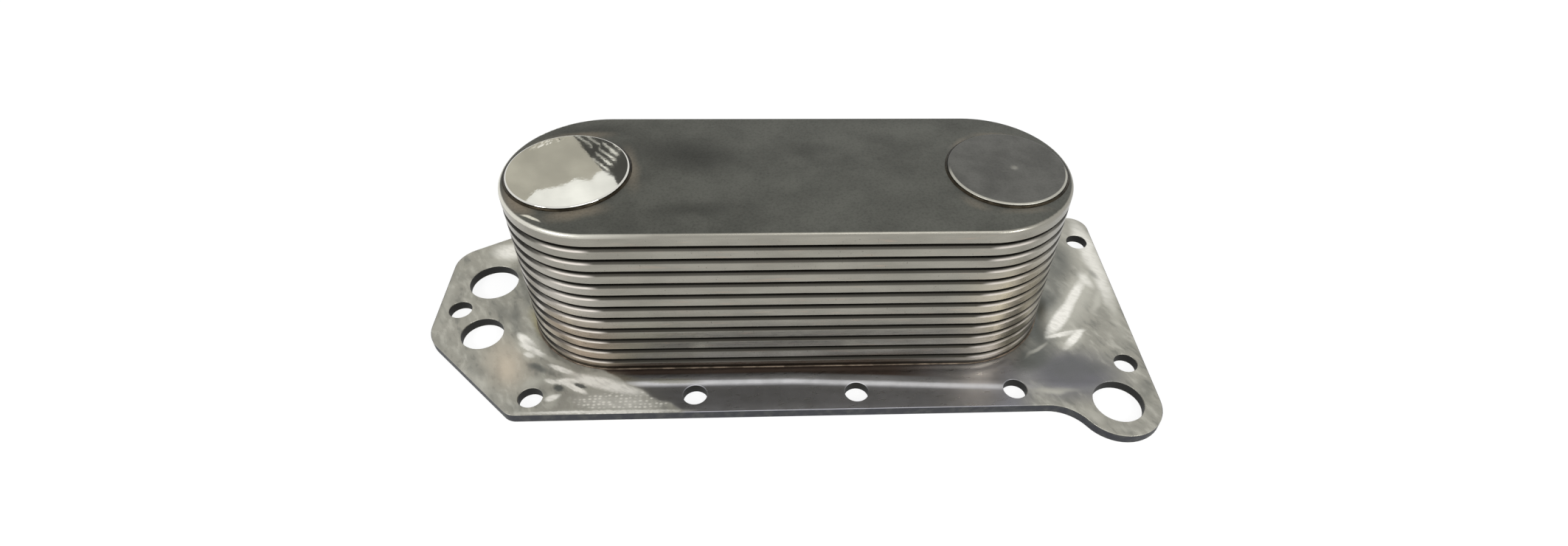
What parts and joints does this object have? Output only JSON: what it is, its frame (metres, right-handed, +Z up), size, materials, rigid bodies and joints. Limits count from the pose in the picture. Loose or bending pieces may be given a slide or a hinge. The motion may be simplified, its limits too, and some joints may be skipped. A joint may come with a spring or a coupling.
{
  "type": "engine oil cooler core",
  "caption": "Brazed stack of flat obround oil elements with two capped galleries, on a flat drilled base plate with slanted corners and a front lobe.",
  "frame": {"origin": "on the underside of the base plate, at the middle of the stack, halfway between the two oil galleries", "axes": "+X along the stack towards the end with the lobe, +Y towards the straight back edge, +Z up through the elements to the caps"},
  "size_m": [0.2789, 0.1236, 0.0709],
  "materials": {
    "plate_steel": "ground flat, with soft smears, heat tint and a thin bright edge",
    "shell_steel": "pressed and brazed sheet, satin, warm grey with copper tint at the seams",
    "top_steel": "dull satin dark grey sheet with faint mottling",
    "polished_cap": "bright polished disc",
    "matt_cap": "matt disc with a tack mark",
    "fin_steel": "thin corrugated sheet with braze tint"
  },
  "bodies": {
    "root": {"base_plate": "plate_steel", "lower_shell_01": "shell_steel", "lower_shell_02": "shell_steel", "lower_shell_03": "shell_steel", "lower_shell_04": "shell_steel", "lower_shell_05": "shell_steel", "lower_shell_06": "shell_steel", "lower_shell_07": "shell_steel", "lower_shell_08": "shell_steel", "lower_shell_09": "shell_steel", "lower_shell_10": "shell_steel", "lower_shell_11": "shell_steel", "lower_shell_12": "shell_steel", "turbulator_01": "fin_steel", "turbulator_02": "fin_steel", "turbulator_03": "fin_steel", "turbulator_04": "fin_steel", "turbulator_05": "fin_steel", "turbulator_06": "fin_steel", "turbulator_07": "fin_steel", "turbulator_08": "fin_steel", "turbulator_09": "fin_steel", "turbulator_10": "fin_steel", "turbulator_11": "fin_steel", "turbulator_12": "fin_steel", "upper_shell_01": "shell_steel", "upper_shell_02": "shell_steel", "upper_shell_03": "shell_steel", "upper_shell_04": "shell_steel", "upper_shell_05": "shell_steel", "upper_shell_06": "shell_steel", "upper_shell_07": "shell_steel", "upper_shell_08": "shell_steel", "upper_shell_09": "shell_steel", "upper_shell_10": "shell_steel", "upper_shell_11": "shell_steel", "upper_shell_12": "top_steel", "left_cap": "polished_cap", "right_cap": "matt_cap"}
  },
  "joints": []
}
